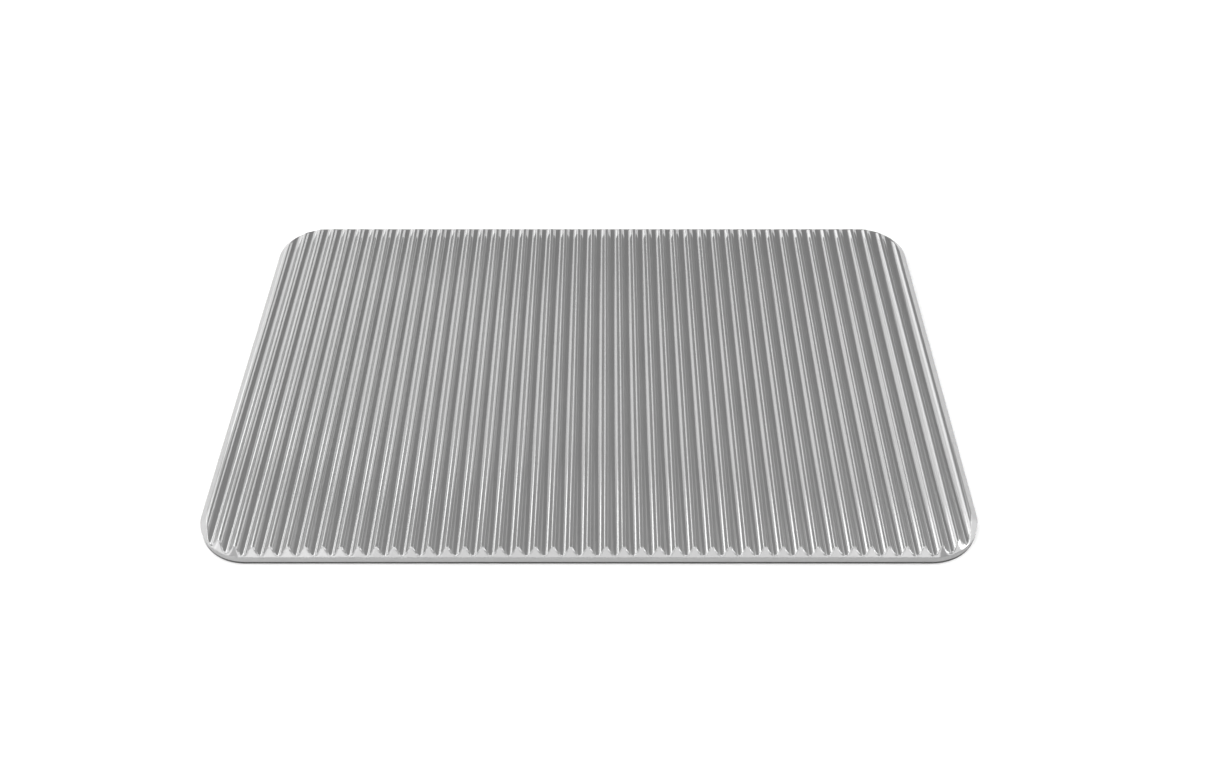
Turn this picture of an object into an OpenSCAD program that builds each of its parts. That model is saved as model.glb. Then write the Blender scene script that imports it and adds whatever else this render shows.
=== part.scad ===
// Ribbed anti-fatigue mat. A bevelled wear layer with ridges is bonded to a
// closed-cell cushioning core, and the core is bonded to a rubber backing. The mat
// lies on the XY plane, centred on the origin. Its long side runs along X and its
// ridges run along Y, from the front bevel to the back bevel.

/* [Outline] */
// Length of the mat, along X
mat_w = 762; // [720:1:800]
// Depth of the mat, along Y
mat_d = 508; // [400:1:900]
// Radius of the four corners, seen from above
corner_r = 52; // [20:1:120]

/* [Bevelled edge] */
// Height of the upright edge below the bevel
edge_h = 9.9; // [7:0.1:14]
// How far the bevel runs in from the edge
bevel_run = 7.3; // [6:0.1:9]
// How far the bevel rises, up to the tops of the ridges
bevel_rise = 5.9; // [5.6:0.1:9]

/* [Ridges] */
// Number of ridges across the mat
ridge_count = 45; // [42:1:48]
// Width of a ridge's flat top, before its two edges are rounded
ridge_flat = 3.2; // [3:0.1:3.8]
// Radius of the two rounded top edges of a ridge
ridge_edge_r = 2; // [1:0.1:2]
// Depth of the grooves between the ridges
groove_depth = 5; // [4:0.1:5.5]
// How full the grooves are: 2 is a parabola, and more is flatter-bottomed
groove_power = 2.2; // [2:0.1:2.6]

/* [Layers] */
// Thickness of the rubber backing
base_t = 2.2; // [1:0.1:3]
// Thickness of each adhesive film
film_t = 0.4; // [0.2:0.1:0.6]
// Height of the upright lip of the wear layer, below the bevel
lip_h = 0.3; // [0.1:0.1:1]
// How far the adhesive films stand in from the edge of the mat
film_inset = 0.4; // [0:0.1:2]
// How far the backing stands in from the edge of the mat
base_inset = 0; // [0:0.1:4]
// Size of the chamfer round the foot of the backing
base_chamfer = 0.3; // [0.2:0.1:0.9]

/* [Hidden] */
$fn = 96;

// Heights at which the layers meet, from the floor up
core_foot_z = base_t + film_t;
seam_z = edge_h - lip_h;
core_head_z = seam_z - film_t;
mat_h = edge_h + bevel_rise;

// The outermost two ridges border the side bevels, and the rest share the width
pitch = (mat_w - 2 * bevel_run - ridge_flat) / (ridge_count - 1);
first_groove_x = -(ridge_count - 2) * pitch / 2;

// A groove is a power curve that meets the tops of the ridges at the flank angle
groove_half_w = (pitch - ridge_flat) / 2;
flank_angle = atan(groove_power * groove_depth / groove_half_w);
floor_steps = 8;

// A ridge's rounded edge takes up this length of its flat top, and ends this far down
round_l = ridge_edge_r * tan(flank_angle / 2);
round_h = ridge_edge_r * (1 - cos(flank_angle));
round_steps = 4;

// Cutters reach this far past the surfaces that they cut
over = 2;

// An edge is a list of [how far in from the side, height] points, from foot to head.
// Section of a straight stretch of a slab, w wide, with that edge on both sides
module slab_section(w, edge) {
    right = [for (p = edge) [w / 2 - p[0], p[1]]];
    left = [for (i = [len(edge) - 1 : -1 : 0]) [edge[i][0] - w / 2, edge[i][1]]];
    polygon(concat(right, left));
}

// Quarter-turn corner of a slab, with its centre on the Z axis
module slab_corner(edge) {
    foot = edge[0];
    head = edge[len(edge) - 1];
    rim = [for (p = edge) [corner_r - p[0], p[1]]];
    rotate_extrude(angle = 90)
        polygon(concat([[0, foot[1]]], rim, [[0, head[1]]]));
}

// Layer of the mat, with the given edge all round its outline
module slab(edge) {
    rotate([90, 0, 0])
        linear_extrude(mat_d - 2 * corner_r, center = true)
            slab_section(mat_w, edge);
    rotate([90, 0, 90])
        linear_extrude(mat_w - 2 * corner_r, center = true)
            slab_section(mat_d, edge);
    for (x = [-1, 1], y = [-1, 1])
        translate([x * (mat_w / 2 - corner_r), y * (mat_d / 2 - corner_r), 0])
            rotate(atan2(y, x) - 45)
                slab_corner(edge);
}

// Layer with upright sides
module plain_slab(inset, foot_z, head_z) {
    slab([[inset, foot_z], [inset, head_z]]);
}

// Point on a groove's floor or flank, u of the way from its middle to its rim
function groove_point(u) = [
    u * groove_half_w,
    mat_h - groove_depth * (1 - pow(u, groove_power))
];

// Point on a ridge's rounded edge, where it slopes at the angle a
function round_point(a) = [
    groove_half_w + round_l - ridge_edge_r * sin(a),
    mat_h - ridge_edge_r * (1 - cos(a))
];

// Right half of a groove's outline, from the middle of its floor to the ridge's flat top
function half_groove() =
    let (rim = pow(1 - round_h / groove_depth, 1 / groove_power))
    concat(
        [for (i = [0 : floor_steps]) groove_point(rim * i / floor_steps)],
        [for (i = [1 : round_steps]) round_point(flank_angle * (1 - i / round_steps))]
    );

// Section of one groove, centred on the Z axis and open above the tops of the ridges
module groove_section() {
    half = half_groove();
    last = len(half) - 1;
    mouth_x = half[last][0];
    polygon(concat(
        half,
        [[mouth_x, mat_h + over], [-mouth_x, mat_h + over]],
        [for (i = [last : -1 : 1]) [-half[i][0], half[i][1]]]
    ));
}

// Wear layer: an upright lip, the bevel, and the ridges that the bevel cuts across
module ribbed_top() {
    color([0.68, 0.68, 0.68])
        difference() {
            slab([[0, seam_z], [0, edge_h], [bevel_run, mat_h]]);
            for (i = [0 : ridge_count - 2])
                translate([first_groove_x + i * pitch, 0, 0])
                    rotate([90, 0, 0])
                        linear_extrude(mat_d + 2 * over, center = true)
                            groove_section();
        }
}

// Adhesive film that holds the wear layer to the core
module top_bond_film() {
    color([0.3, 0.3, 0.3])
        plain_slab(film_inset, core_head_z, seam_z);
}

// Closed-cell cushioning core
module foam_core() {
    color([0.58, 0.58, 0.58])
        plain_slab(0, core_foot_z, core_head_z);
}

// Adhesive film that holds the core to the backing
module base_bond_film() {
    color([0.3, 0.3, 0.3])
        plain_slab(film_inset, base_t, core_foot_z);
}

// Rubber backing, with a chamfer round the foot
module non_slip_base() {
    color([0.2, 0.2, 0.2])
        slab([
            [base_inset + base_chamfer, 0],
            [base_inset, base_chamfer],
            [base_inset, base_t]
        ]);
}

ribbed_top();
top_bond_film();
foam_core();
base_bond_film();
non_slip_base();
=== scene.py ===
"""Looks of the ribbed anti-fatigue mat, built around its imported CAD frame.

Lengths are in metres. The mat lies on the XY plane with its ridges along Y.
"""

import math

import bpy
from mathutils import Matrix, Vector
from mathutils.geometry import tessellate_polygon


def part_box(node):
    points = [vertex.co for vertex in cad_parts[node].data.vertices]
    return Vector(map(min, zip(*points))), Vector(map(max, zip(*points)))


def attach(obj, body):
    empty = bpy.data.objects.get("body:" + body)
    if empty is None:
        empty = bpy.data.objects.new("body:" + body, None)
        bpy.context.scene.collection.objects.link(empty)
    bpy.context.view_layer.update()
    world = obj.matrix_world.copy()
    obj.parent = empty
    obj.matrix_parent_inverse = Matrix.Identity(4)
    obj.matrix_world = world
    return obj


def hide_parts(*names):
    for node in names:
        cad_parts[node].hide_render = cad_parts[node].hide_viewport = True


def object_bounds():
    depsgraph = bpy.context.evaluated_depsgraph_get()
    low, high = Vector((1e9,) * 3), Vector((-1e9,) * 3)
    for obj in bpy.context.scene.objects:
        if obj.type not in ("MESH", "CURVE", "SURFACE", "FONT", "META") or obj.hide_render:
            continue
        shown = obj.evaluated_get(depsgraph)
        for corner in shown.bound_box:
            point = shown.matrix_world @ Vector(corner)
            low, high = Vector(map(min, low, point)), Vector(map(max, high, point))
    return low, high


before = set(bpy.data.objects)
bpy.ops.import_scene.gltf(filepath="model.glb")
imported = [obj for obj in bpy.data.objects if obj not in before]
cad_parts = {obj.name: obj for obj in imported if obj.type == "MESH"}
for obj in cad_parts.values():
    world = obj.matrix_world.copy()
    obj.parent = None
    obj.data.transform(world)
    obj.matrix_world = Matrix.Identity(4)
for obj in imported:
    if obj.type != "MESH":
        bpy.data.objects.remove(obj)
cad_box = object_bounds()

MM = 0.001

# ---------------------------------------------------------------- driving dimensions
LOW, HIGH = cad_box
HALF_W = (HIGH[0] - LOW[0]) / 2
HALF_D = (HIGH[1] - LOW[1]) / 2
MAT_H = HIGH[2]

CORNER_R = 52 * MM
EDGE_H = 9.9 * MM
BEVEL_RUN = 7.3 * MM
BEVEL_SLOPE = (MAT_H - EDGE_H) / BEVEL_RUN

RIDGE_COUNT = 45
RIDGE_FLAT = 3.2 * MM
RIDGE_EDGE_R = 2.0 * MM
GROOVE_DEPTH = 5.0 * MM
GROOVE_POWER = 2.2
PITCH = (2 * (HALF_W - BEVEL_RUN) - RIDGE_FLAT) / (RIDGE_COUNT - 1)
GROOVE_HALF_W = (PITCH - RIDGE_FLAT) / 2

# Rounding where the bevel cuts the ridges and grooves, and at the foot of the bevel
CUT_ROUND = 1.1 * MM
FOOT_ROUND_R = 0.25 * MM

# Chamfer at the foot of the lip
LIP_CHAMFER = 0.05 * MM

# Steps of the ridged surface across half a groove, and round a ridge's edge
FLOOR_STEPS = 9
ROUND_STEPS = 6

# Steps of the ridged surface inward: up the bevel, over its cut edge, past it, to the middle
BEVEL_STEPS = 4
CUT_STEPS = 8
INNER_STEPS = 3
MIDDLE_STEPS = 3
LEAST_STEP = 0.15 * MM

# Turn round the corner from one column of the side bevel to the next
CORNER_TURN = math.radians(2)

# Rounding of the core's and the backing's edges
CORE_FOOT_R = 0.3 * MM
CORE_HEAD_R = 0.5 * MM
BACKING_FOOT_R = 0.3 * MM
BACKING_HEAD_R = 0.2 * MM

# Waffle pressed into the backing's underside
WAFFLE_PITCH = 12 * MM
WAFFLE_RIB = 3 * MM
WAFFLE_DRAFT = 0.7 * MM
WAFFLE_DEPTH = 0.6 * MM
WAFFLE_MARGIN = 18 * MM

# Finish of the wear layer and the core, with the share of painted shade on a groove's floor
TOP_ROUGHNESS = 0.08
TOP_STREAKS = 0.015
TOP_SPECULAR = 1.0
TOP_IOR = 2.0
TOP_GROOVE_SHADE = 0.12
CORE_GREY = 0.278

# Floor, camera and lights
FLOOR_HALF = 6.0
FLOOR_DROP = 0.2 * MM
CAMERA_SIDE = 0.0177
CAMERA_AHEAD = 0.7066
CAMERA_HEIGHT = 0.948
CAMERA_TILT = 44.71
CAMERA_LENS = 36.15
CAMERA_SENSOR = 36.0
LIGHT_DISTANCE = 2.3
WORLD_STRENGTH = 0.11


# ---------------------------------------------------------------- mesh helpers
def new_piece(name, points, faces, smooth=True):
    """A mesh object from its points and faces, shaded smooth where asked."""
    mesh = bpy.data.meshes.new(name)
    mesh.from_pydata([tuple(p) for p in points], [], faces)
    mesh.validate()
    mesh.update()
    if smooth:
        mesh.shade_smooth()
    piece = bpy.data.objects.new(name, mesh)
    bpy.context.scene.collection.objects.link(piece)
    return piece


def shade_by_angle(piece, degrees):
    """Keeps the edges sharper than this crisp, and the rest smooth."""
    piece.data.set_sharp_from_angle(angle=math.radians(degrees))


# ---------------------------------------------------------------- the ridged surface
def rim_of_groove():
    """Distance from a groove's middle at which its flank runs into the ridge's rounded edge."""
    low, high = 0.5 * GROOVE_HALF_W, GROOVE_HALF_W
    for _ in range(40):
        t = (low + high) / 2
        left = GROOVE_DEPTH * (1 - (t / GROOVE_HALF_W) ** GROOVE_POWER)
        needed = RIDGE_EDGE_R * (1 - math.cos(flank_slope_angle(t)))
        if left > needed:
            low = t
        else:
            high = t
    return t


def flank_slope_angle(t):
    """Slope of the groove's curve, as an angle, at this distance from its middle."""
    u = t / GROOVE_HALF_W
    return math.atan(GROOVE_POWER * GROOVE_DEPTH / GROOVE_HALF_W * u ** (GROOVE_POWER - 1))


RIM = rim_of_groove()
RIM_ANGLE = flank_slope_angle(RIM)
FLAT_START = RIM + RIDGE_EDGE_R * math.sin(RIM_ANGLE)


def ridge_height(t):
    """Height and slope of the ridged surface at a distance t from the middle of a groove."""
    if t <= RIM:
        u = t / GROOVE_HALF_W
        z = MAT_H - GROOVE_DEPTH * (1 - u**GROOVE_POWER)
        return z, math.tan(flank_slope_angle(t))
    if t < FLAT_START:
        s = (FLAT_START - t) / RIDGE_EDGE_R
        c = math.sqrt(1 - s * s)
        return MAT_H - RIDGE_EDGE_R * (1 - c), s / c
    return MAT_H, 0.0


def half_period_stations():
    """Distances from a groove's middle to a ridge's middle at which the surface is sampled."""
    floor = [RIM * i / FLOOR_STEPS for i in range(FLOOR_STEPS)]
    edge = []
    for i in range(ROUND_STEPS + 1):
        angle = RIM_ANGLE * (1 - i / ROUND_STEPS)
        edge.append(FLAT_START - RIDGE_EDGE_R * math.sin(angle))
    return floor + edge


def columns():
    """Stations across the mat, from the left side to the right: (x, ridge height, slope).

    The side bevel comes first, at even turns round the corner, and then the ridges. The
    right half mirrors the left one.
    """
    inset_r = CORNER_R - FOOT_IN
    bevel_end = BEVEL_RUN - FOOT_IN - 2 * CUT_ROUND
    found = []
    run_in = 0.0
    while run_in < bevel_end:
        found.append((-HALF_W + FOOT_IN + run_in, MAT_H, 0.0))
        run_in = inset_r * (1 - math.cos(len(found) * CORNER_TURN))
    for k in range(-4, 5):
        found.append((-HALF_W + BEVEL_RUN + k * CUT_ROUND / 3, MAT_H, 0.0))
    stations = half_period_stations()
    rising = [(t, *ridge_height(t)) for t in stations]
    for groove in range(RIDGE_COUNT - 1):
        middle = (groove - (RIDGE_COUNT - 2) / 2) * PITCH
        for t, z, s in reversed(rising):
            found.append((middle - t, z, s))
        for t, z, s in rising[1:]:
            found.append((middle + t, z, s))
    half = [c for c in found if c[0] < -1e-9]
    middle = [c for c in found if abs(c[0]) <= 1e-9][:1]
    mirrored = [(-x, z, s) for x, z, s in reversed(half)]
    return half + middle + mirrored


# The rounded foot of the bevel starts this far in from the edge
BEVEL_ANGLE = math.atan(BEVEL_SLOPE)
FOOT_IN = FOOT_ROUND_R * (1 - math.sin(BEVEL_ANGLE))
FOOT_CENTRE_Z = EDGE_H + FOOT_IN * BEVEL_SLOPE - FOOT_ROUND_R * math.cos(BEVEL_ANGLE)


def edge_y(x, inset):
    """How far the line x = const reaches from the middle before it is inset from the outline."""
    run_in = abs(x) - (HALF_W - CORNER_R)
    r = CORNER_R - inset
    if run_in <= 0:
        return HALF_D - inset
    return HALF_D - CORNER_R + math.sqrt(max(r * r - run_in * run_in, 0.0))


def blend_height(ridge_z, slope, inset):
    """Lower of the ridged surface and the bevel, with a rounded edge where they cross."""
    bevel_z = EDGE_H + BEVEL_SLOPE * inset
    width = CUT_ROUND * math.hypot(slope, BEVEL_SLOPE)
    h = max(width - abs(ridge_z - bevel_z), 0.0) / width
    return min(ridge_z, bevel_z) - h * h * width / 4


def column_insets(x, ridge_z, slope):
    """Insets from the outline at which a column is sampled: dense round the cut edge."""
    depth = BEVEL_RUN + 2.5 * CUT_ROUND
    cross = (ridge_z - EDGE_H) / BEVEL_SLOPE
    reach = CUT_ROUND * math.hypot(slope, BEVEL_SLOPE) / BEVEL_SLOPE
    start = max(cross - reach, FOOT_IN + LEAST_STEP)
    end = min(cross + reach, depth - LEAST_STEP)
    marks = [FOOT_IN + (start - FOOT_IN) * i / BEVEL_STEPS for i in range(BEVEL_STEPS)]
    marks += [start + (end - start) * i / CUT_STEPS for i in range(CUT_STEPS)]
    marks += [end + (depth - end) * i / INNER_STEPS for i in range(INNER_STEPS + 1)]
    side = HALF_W - abs(x)
    if side < depth:
        squeeze = (side - FOOT_IN) / (depth - FOOT_IN)
        marks = [FOOT_IN + (m - FOOT_IN) * squeeze for m in marks]
    return marks


def ridged_grid():
    """Points of the top surface, as one list of points per column, front to back."""
    grid = []
    for x, ridge_z, slope in columns():
        end = []
        for inset in column_insets(x, ridge_z, slope):
            z = blend_height(ridge_z, slope, inset)
            end.append((edge_y(x, inset), z))
        inner_y, inner_z = end[-1]
        middle = [(inner_y * (1 - i / MIDDLE_STEPS), inner_z) for i in range(1, MIDDLE_STEPS)]
        back = end + middle
        front = [(x, -y, z) for y, z in back]
        grid.append(front + [(x, 0.0, inner_z)] + [(x, y, z) for y, z in reversed(back)])
    return grid


def outward(x, y):
    """Unit direction out of the mat's outline, at a point near it."""
    qx = abs(x) - (HALF_W - CORNER_R)
    qy = abs(y) - (HALF_D - CORNER_R)
    if qx > 0 and qy > 0:
        n = Vector((math.copysign(qx, x), math.copysign(qy, y))).normalized()
        return n.x, n.y
    if qx > qy:
        return math.copysign(1.0, x), 0.0
    return 0.0, math.copysign(1.0, y)


def build_ribbed_top():
    """The wear layer: ridges, the bevel across them, a rounded foot and a flat underside."""
    grid = ridged_grid()
    rows = len(grid[0])
    end_points = BEVEL_STEPS + CUT_STEPS + INNER_STEPS + 1
    points, index = [], {}

    def number(i, j):
        # all of an end's points are one point on the two side columns, where a corner begins
        if i in (0, len(grid) - 1):
            j = min(max(j, end_points - 1), rows - end_points)
        if (i, j) not in index:
            index[i, j] = len(points)
            points.append(grid[i][j])
        return index[i, j]

    faces = []
    for i in range(len(grid) - 1):
        for j in range(rows - 1):
            corners = [number(i, j), number(i + 1, j), number(i + 1, j + 1), number(i, j + 1)]
            face = list(dict.fromkeys(corners))
            if len(face) > 2:
                faces.append(face)
    rim = [number(i, 0) for i in range(len(grid))]
    rim += [number(len(grid) - 1, j) for j in range(rows)]
    rim += [number(i, rows - 1) for i in reversed(range(len(grid)))]
    rim += [number(0, j) for j in reversed(range(rows))]
    rim = list(dict.fromkeys(rim))
    seam_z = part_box("ribbed_top")[0].z
    close_below(points, faces, rim, foot_rings(seam_z))
    piece = new_piece("ribbed_top_skin", points, faces)
    shade_by_angle(piece, 50)
    return piece


def foot_rings(seam_z):
    """(inset, height) of the rings that go round the foot of the bevel and down the lip."""
    rings = []
    for i in range(1, 5):
        a = BEVEL_ANGLE + (math.pi / 2 - BEVEL_ANGLE) * i / 4
        rings.append((FOOT_ROUND_R * (1 - math.sin(a)), FOOT_CENTRE_Z + FOOT_ROUND_R * math.cos(a)))
    rings.append((0.0, seam_z + LIP_CHAMFER))
    rings.append((LIP_CHAMFER, seam_z))
    return rings


def close_below(points, faces, rim, rings):
    """Adds rings of faces from the rim outward and down, and a flat face across the last ring."""
    last, last_inset = rim, FOOT_IN
    plan = [points[i] for i in rim]
    for inset, z in rings:
        ring = []
        for x, y, _ in plan:
            nx, ny = outward(x, y)
            ring.append(len(points))
            points.append((x + nx * (last_inset - inset), y + ny * (last_inset - inset), z))
        for a in range(len(rim)):
            b = (a + 1) % len(rim)
            faces.append([last[b], last[a], ring[a], ring[b]])
        last = ring
    faces.append(list(reversed(last)))


# ---------------------------------------------------------------- plain layers
def outline(inset, steps=24):
    """Points of the mat's outline, inset by this much, counter-clockwise."""
    found = []
    r = CORNER_R - inset
    for quarter, (sx, sy) in enumerate(((1, 1), (-1, 1), (-1, -1), (1, -1))):
        for i in range(steps + 1):
            a = math.pi / 2 * (quarter + i / steps)
            cx = sx * (HALF_W - CORNER_R)
            cy = sy * (HALF_D - CORNER_R)
            found.append((cx + r * math.cos(a), cy + r * math.sin(a)))
    return found


def ringed_slab(edge):
    """Points, side faces and rings of a slab whose edge follows (inset, height) points."""
    points, faces, rings = [], [], []
    for inset, z in edge:
        ring = []
        for x, y in outline(inset):
            ring.append(len(points))
            points.append((x, y, z))
        rings.append(ring)
    for low, high in zip(rings, rings[1:]):
        for a in range(len(low)):
            b = (a + 1) % len(low)
            faces.append([low[a], low[b], high[b], high[a]])
    return points, faces, rings


def build_layer(name, edge):
    """Closed slab with flat faces whose edge follows (inset, height) points, from its foot up."""
    points, faces, rings = ringed_slab(edge)
    faces.append(list(reversed(rings[0])))
    faces.append(rings[-1])
    piece = new_piece(name, points, faces)
    shade_by_angle(piece, 40)
    return piece


def rounded_edge(inset, foot_z, head_z, foot_r, head_r, steps=5):
    """Edge points of a slab whose foot and head edges are rounded."""
    foot = []
    for i in range(steps + 1):
        a = math.pi / 2 * i / steps
        foot.append((inset + foot_r * (1 - math.sin(a)), foot_z + foot_r * (1 - math.cos(a))))
    head = []
    for i in range(steps + 1):
        a = math.pi / 2 * i / steps
        head.append((inset + head_r * (1 - math.cos(a)), head_z - head_r * (1 - math.sin(a))))
    return foot + head


# ---------------------------------------------------------------- grip pattern underneath
def waffle_lines(half_length):
    """Lines across the waffle along one axis: (position, how deep the recess is there, 0 to 1)."""
    cells = int(2 * (half_length - WAFFLE_MARGIN) / WAFFLE_PITCH)
    start = -cells * WAFFLE_PITCH / 2
    found = []
    for cell in range(cells):
        left = start + cell * WAFFLE_PITCH
        right = left + WAFFLE_PITCH
        for inset, depth in ((0, 0), (WAFFLE_RIB / 2, 0), (WAFFLE_RIB / 2 + WAFFLE_DRAFT, 1)):
            found.append((left + inset, depth))
        for inset, depth in ((WAFFLE_RIB / 2 + WAFFLE_DRAFT, 1), (WAFFLE_RIB / 2, 0)):
            found.append((right - inset, depth))
    found.append((-start, 0))
    return found


def waffle_grid(foot_z):
    """Rows of points of the waffle, which sits in the middle of the backing's underside."""
    grid = []
    for y, deep_y in waffle_lines(HALF_D):
        row = []
        for x, deep_x in waffle_lines(HALF_W):
            row.append((x, y, foot_z + WAFFLE_DEPTH * min(deep_x, deep_y)))
        grid.append(row)
    return grid


def build_backing():
    """The backing: rounded edges, and a shallow waffle pressed into its underside for grip."""
    low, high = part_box("non_slip_base")
    inset = HALF_W - high.x
    edge = rounded_edge(inset, low.z, high.z, BACKING_FOOT_R, BACKING_HEAD_R)
    points, faces, rings = ringed_slab(edge)
    faces.append(rings[-1])
    grid = waffle_grid(low.z)
    number = []
    for row in grid:
        number.append(list(range(len(points), len(points) + len(row))))
        points.extend(row)
    for a, b in zip(number, number[1:]):
        for i in range(len(a) - 1):
            faces.append([a[i], b[i], b[i + 1], a[i + 1]])
    border = number[0] + [row[-1] for row in number[1:]]
    border += number[-1][-2::-1] + [row[0] for row in number[-2:0:-1]]
    loops = [rings[0], border]
    flat = [i for loop in loops for i in loop]
    for triangle in tessellate_polygon([[Vector(points[i]) for i in loop] for loop in loops]):
        faces.append(facing_down([flat[i] for i in triangle], points))
    piece = new_piece("non_slip_base_pad", points, faces)
    shade_by_angle(piece, 30)
    return piece


def facing_down(corners, points):
    """The same triangle, turned so that it faces down."""
    a, b, c = (Vector(points[i]) for i in corners)
    if (b - a).cross(c - a).z > 0:
        return corners[::-1]
    return corners


# ---------------------------------------------------------------- materials
class Nodes:
    """Short calls that add and link the nodes of one material."""

    def __init__(self, name):
        self.material = bpy.data.materials.new(name)
        self.material.use_nodes = True
        self.tree = self.material.node_tree
        self.shader = self.tree.nodes["Principled BSDF"]
        self.place = self.add("ShaderNodeTexCoord").outputs["Object"]

    def add(self, kind, **inputs):
        """A new node with these inputs, where _ stands for a space in an input's name."""
        node = self.tree.nodes.new(kind)
        for name, value in inputs.items():
            self.put(node, name.replace("_", " "), value)
        return node

    def put(self, node, name, value):
        """Links a socket to an input, or sets the input to a plain value."""
        if isinstance(value, bpy.types.NodeSocket):
            self.tree.links.new(value, node.inputs[name])
        else:
            node.inputs[name].default_value = value

    def noise(self, size, detail=2.0, stretch=(1, 1, 1)):
        """Noise from 0 to 1 whose patches are about this size, in metres."""
        place = self.place
        if stretch != (1, 1, 1):
            place = self.add("ShaderNodeMapping", Vector=place, Scale=stretch).outputs["Vector"]
        node = self.add("ShaderNodeTexNoise", Vector=place, Scale=1 / size, Detail=detail)
        return node.outputs["Fac"]

    def cells(self, size):
        """Distance to the middle of the nearest foam cell, from 0 to 1."""
        node = self.add("ShaderNodeTexVoronoi", Vector=self.place, Scale=1 / size)
        return node.outputs["Distance"]

    def height(self, low, high):
        """How far up between two heights a point is, from 0 to 1."""
        up = self.add("ShaderNodeSeparateXYZ", Vector=self.place).outputs["Z"]
        return self.remap(up, low, high, 0.0, 1.0)

    def remap(self, value, from_min, from_max, to_min, to_max):
        """The value, moved from one range to another and held within it."""
        ends = {"From_Min": from_min, "From_Max": from_max, "To_Min": to_min, "To_Max": to_max}
        node = self.add("ShaderNodeMapRange", Value=value, **ends)
        return node.outputs["Result"]

    def blend(self, factor, colour_a, colour_b):
        """Mix of two colours, from the first at a factor of 0 to the second at 1."""
        node = self.add("ShaderNodeMix")
        node.data_type = "RGBA"
        sockets = [s for s in node.inputs if s.type == "RGBA"]
        self.tree.links.new(factor, node.inputs["Factor"])
        for socket, colour in zip(sockets, (colour_a, colour_b)):
            if isinstance(colour, bpy.types.NodeSocket):
                self.tree.links.new(colour, socket)
            else:
                socket.default_value = (*colour, 1)
        return [s for s in node.outputs if s.type == "RGBA"][0]

    def bump(self, value, depth, strength=1.0, under=None):
        """Surface detail whose highest points stand this far proud, in metres."""
        node = self.add("ShaderNodeBump", Height=value, Distance=depth, Strength=strength)
        if under is not None:
            self.tree.links.new(under, node.inputs["Normal"])
        return node.outputs["Normal"]

    def finish(self, colour, roughness, normal, specular=0.5, ior=1.5):
        """The material, once its shader has its colour and finish."""
        self.put(self.shader, "Base Color", colour)
        self.put(self.shader, "Roughness", roughness)
        self.put(self.shader, "Normal", normal)
        self.shader.inputs["Specular IOR Level"].default_value = specular
        self.shader.inputs["IOR"].default_value = ior
        return self.material


def grey(value):
    """A neutral grey of this lightness."""
    return value, value, value


def moulded_top():
    """Glossy moulded elastomer: fine grain, cloudy tone, streaks along the ridges, painted shade on
    the groove floors.
    """
    n = Nodes("top")
    cloud = n.blend(n.remap(n.noise(0.09, 3), 0.3, 0.7, 0, 1), grey(0.187), grey(0.201))
    # painted shade: the colour darkens towards each groove's floor, by height
    up = n.height(MAT_H - GROOVE_DEPTH, MAT_H)
    colour = n.blend(n.remap(up, 0, 1, TOP_GROOVE_SHADE, 0), cloud, grey(0.18))
    grain = n.noise(0.0006, 2)
    streaks = n.noise(0.004, 2, stretch=(1, 0.04, 1))
    smoothest = TOP_ROUGHNESS - TOP_STREAKS
    roughness = n.remap(streaks, 0.3, 0.7, smoothest, TOP_ROUGHNESS + TOP_STREAKS)
    normal = n.bump(grain, 0.006 * MM, 0.5)
    return n.finish(colour, roughness, normal, TOP_SPECULAR, TOP_IOR)


def cut_foam():
    """Closed-cell foam: the cut edge shows small cells with darker middles."""
    n = Nodes("core")
    cells = n.cells(0.0009)
    cloud = n.remap(n.noise(0.05, 3), 0.3, 0.7, 0, 1)
    tone = n.blend(cloud, grey(CORE_GREY * 0.96), grey(CORE_GREY * 1.04))
    colour = n.blend(n.remap(cells, 0.1, 0.6, 0.16, 0), tone, grey(CORE_GREY * 0.6))
    roughness = n.remap(cells, 0, 0.6, 0.75, 0.9)
    saw_marks = n.bump(n.noise(0.003, 2), 0.05 * MM, 0.4)
    normal = n.bump(cells, 0.08 * MM, 0.35, saw_marks)
    return n.finish(colour, roughness, normal, 0.3)


def seam_shade_adhesive(name):
    """Adhesive film, painted dark so that its edge shows as the shade line of a seam, with a
    slightly uneven gloss along the line.
    """
    n = Nodes(name)
    uneven = n.noise(0.006, 3)
    # painted shade: the film is dark so that its edge reads as the shade line of the seam
    colour = n.blend(n.remap(uneven, 0.3, 0.7, 0, 1), grey(0.06), grey(0.09))
    roughness = n.remap(uneven, 0.3, 0.7, 0.45, 0.65)
    normal = n.bump(n.noise(0.0012, 2), 0.04 * MM, 0.5)
    return n.finish(colour, roughness, normal)


def dark_rubber_and_foot_shade():
    """Backing rubber: dark and matt, its dark tone also painted shade along the mat's foot, with a
    pebbled grain and pale specks of filler.
    """
    n = Nodes("base")
    pebbles = n.cells(0.0014)
    # dark rubber and painted shade: the backing's dark tone also stands for the shade line along
    # the foot
    tone = n.blend(n.remap(n.noise(0.06, 3), 0.3, 0.7, 0, 1), grey(0.048), grey(0.06))
    specks = n.remap(n.noise(0.0007, 0), 0.72, 0.78, 0, 0.5)
    colour = n.blend(specks, tone, grey(0.12))
    roughness = n.remap(pebbles, 0, 0.6, 0.7, 0.55)
    normal = n.bump(pebbles, 0.06 * MM, 0.4)
    return n.finish(colour, roughness, normal, 0.25)


def studio_paper():
    """Pale studio floor, matt and very slightly uneven."""
    n = Nodes("floor")
    uneven = n.noise(0.5, 2)
    colour = n.blend(uneven, grey(0.88), grey(0.9))
    roughness = n.remap(uneven, 0, 1, 0.88, 0.92)
    normal = n.bump(n.noise(0.002, 2), 0.02 * MM, 0.2)
    return n.finish(colour, roughness, normal, 0.3)


# ---------------------------------------------------------------- pieces
def dress(piece, node, material):
    """Gives a piece its material and ties it to the CAD node that it stands for."""
    piece.data.materials.append(material)
    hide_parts(node)
    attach(piece, "root")


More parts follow.
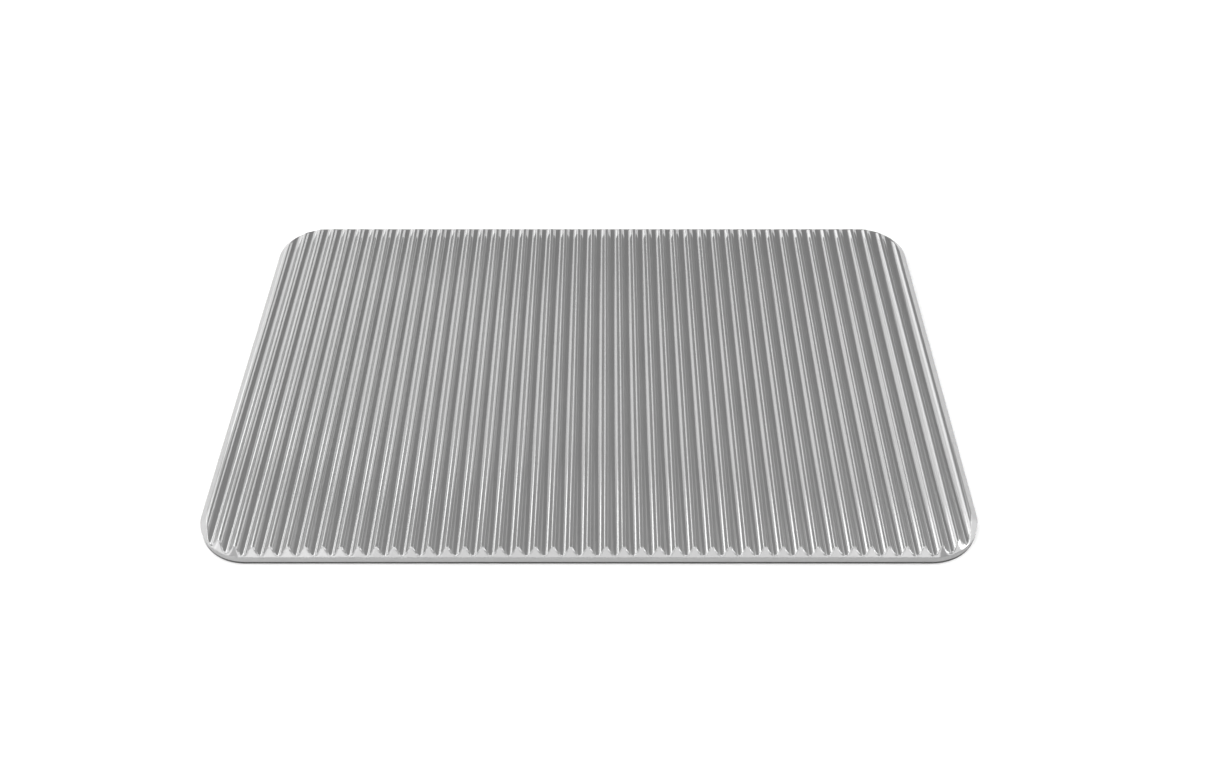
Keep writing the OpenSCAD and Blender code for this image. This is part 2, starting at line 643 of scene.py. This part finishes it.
def add_film(node):
    """An adhesive film, as wide as the CAD says, seen only as a dark line round the edge: painted
    shade along the seam.
    """
    low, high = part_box(node)
    inset = HALF_W - high.x
    sheet = build_layer(node + "_sheet", [(inset, low.z), (inset, high.z)])
    dress(sheet, node, seam_shade_adhesive(node))


def add_core():
    """The cushioning core, with softly rounded cut edges."""
    low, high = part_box("foam_core")
    edge = rounded_edge(0.0, low.z, high.z, CORE_FOOT_R, CORE_HEAD_R)
    core = build_layer("foam_core_block", edge)
    dress(core, "foam_core", cut_foam())


dress(build_ribbed_top(), "ribbed_top", moulded_top())
add_film("top_bond_film")
add_core()
add_film("base_bond_film")
dress(build_backing(), "non_slip_base", dark_rubber_and_foot_shade())


# ---------------------------------------------------------------- floor, camera, lights
def add_floor():
    """The floor, just below the mat's underside."""
    signs = ((-1, -1), (1, -1), (1, 1), (-1, 1))
    corners = [(x * FLOOR_HALF, y * FLOOR_HALF, 0) for x, y in signs]
    floor = new_piece("floor", corners, [(0, 1, 2, 3)], smooth=False)
    floor.location.z = -FLOOR_DROP
    floor.data.materials.append(studio_paper())


def add_camera():
    """The camera, in front of the mat and above it, tilted down."""
    camera = bpy.data.cameras.new("camera")
    camera.sensor_width = CAMERA_SENSOR
    camera.lens = CAMERA_LENS
    holder = bpy.data.objects.new("camera", camera)
    holder.location = (CAMERA_SIDE, -HALF_D - CAMERA_AHEAD, CAMERA_HEIGHT)
    holder.rotation_euler = (math.radians(90 - CAMERA_TILT), 0, 0)
    bpy.context.scene.collection.objects.link(holder)
    bpy.context.scene.camera = holder


# Soft boxes: azimuth from +X and elevation in degrees, width and height, power in watts
LIGHTS = {
    "front": (270, 42, 2.6, 0.9, 11.8),
    "front_high": (270, 62, 2.2, 0.4, 8.5),
    "front_low": (270, 16, 2.4, 0.9, 16.5),
    "overhead": (90, 86, 2.2, 0.4, 18.0),
    "back_left_low": (130, 6, 1.4, 0.45, 5.7),
    "back_left": (130, 18, 1.2, 0.5, 2.9),
    "back_left_mid": (127, 31, 1.1, 0.55, 3.3),
    "back_left_high": (112, 44, 0.9, 0.6, 2.0),
    "left_rear": (152, 24, 1.0, 0.8, 6.1),
    "left_rear_high": (150, 50, 1.0, 0.7, 8.2),
    "back_right_low": (50, 6, 1.4, 0.45, 3.4),
    "right_rear": (28, 24, 1.0, 0.8, 1.3),
    "right_rear_high": (30, 50, 1.0, 0.7, 3.9),
    "left_low": (180, 12, 2.2, 1.0, 11.0),
    "left_high": (180, 52, 1.2, 0.8, 3.0),
    "left_top": (180, 70, 1.2, 0.5, 1.5),
    "right_low": (0, 12, 2.2, 1.0, 12.0),
    "right": (0, 28, 1.6, 0.7, 13.0),
    "left_front_low": (228, 14, 1.2, 0.8, 14.0),
    "left_front": (228, 42, 1.2, 0.9, 2.0),
    "left_fill": (202, 32, 1.2, 0.8, 6.0),
    "right_fill": (338, 32, 1.2, 0.8, 5.0),
    "right_front": (312, 42, 1.2, 0.9, 1.2),
}


def add_light(name, azimuth, elevation, width, height, power):
    """A soft box that faces the middle of the mat."""
    data = bpy.data.lights.new(name, "AREA")
    data.shape = "RECTANGLE"
    data.size = width
    data.size_y = height
    data.energy = power
    light = bpy.data.objects.new(name, data)
    a = math.radians(azimuth)
    e = math.radians(elevation)
    direction = Vector((math.cos(e) * math.cos(a), math.cos(e) * math.sin(a), math.sin(e)))
    light.location = direction * LIGHT_DISTANCE
    light.rotation_euler = direction.to_track_quat("Z", "Y").to_euler()
    bpy.context.scene.collection.objects.link(light)


add_floor()
add_camera()
for name, settings in LIGHTS.items():
    add_light(name, *settings)

world = bpy.data.worlds.new("studio")
bpy.context.scene.world = world
world.use_nodes = True
background = world.node_tree.nodes["Background"]
background.inputs["Color"].default_value = (*grey(1), 1)
background.inputs["Strength"].default_value = WORLD_STRENGTH
bpy.context.scene.view_settings.view_transform = "Standard"
